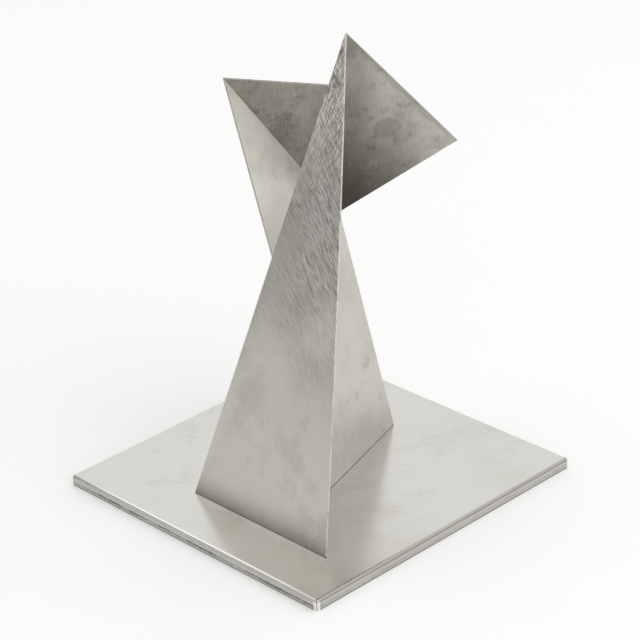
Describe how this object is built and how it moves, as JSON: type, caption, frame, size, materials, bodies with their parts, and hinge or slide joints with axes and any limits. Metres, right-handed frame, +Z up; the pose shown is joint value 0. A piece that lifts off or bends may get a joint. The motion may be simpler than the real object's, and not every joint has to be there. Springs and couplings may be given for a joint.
{
  "type": "folded plate sculpture",
  "caption": "Abstract brushed steel sculpture of flat triangular plates welded edge to edge, standing on a square folded metal base.",
  "frame": {"origin": "centre of the base's underside, in the plane it rests on", "axes": "+Z up; -Y the side the tall blade faces; +X to the right seen from there"},
  "size_m": [0.4064, 0.4064, 0.5468],
  "materials": {
    "brushed_sheet": "hand-brushed stainless sheet with cross-hatched scratches and faint stains",
    "brushed_base": "finely brushed stainless sheet, folded edges scuffed"
  },
  "bodies": {
    "root": {"base_pan": "brushed_base", "blade": "brushed_sheet", "prop": "brushed_sheet", "hood": "brushed_sheet"}
  },
  "joints": []
}
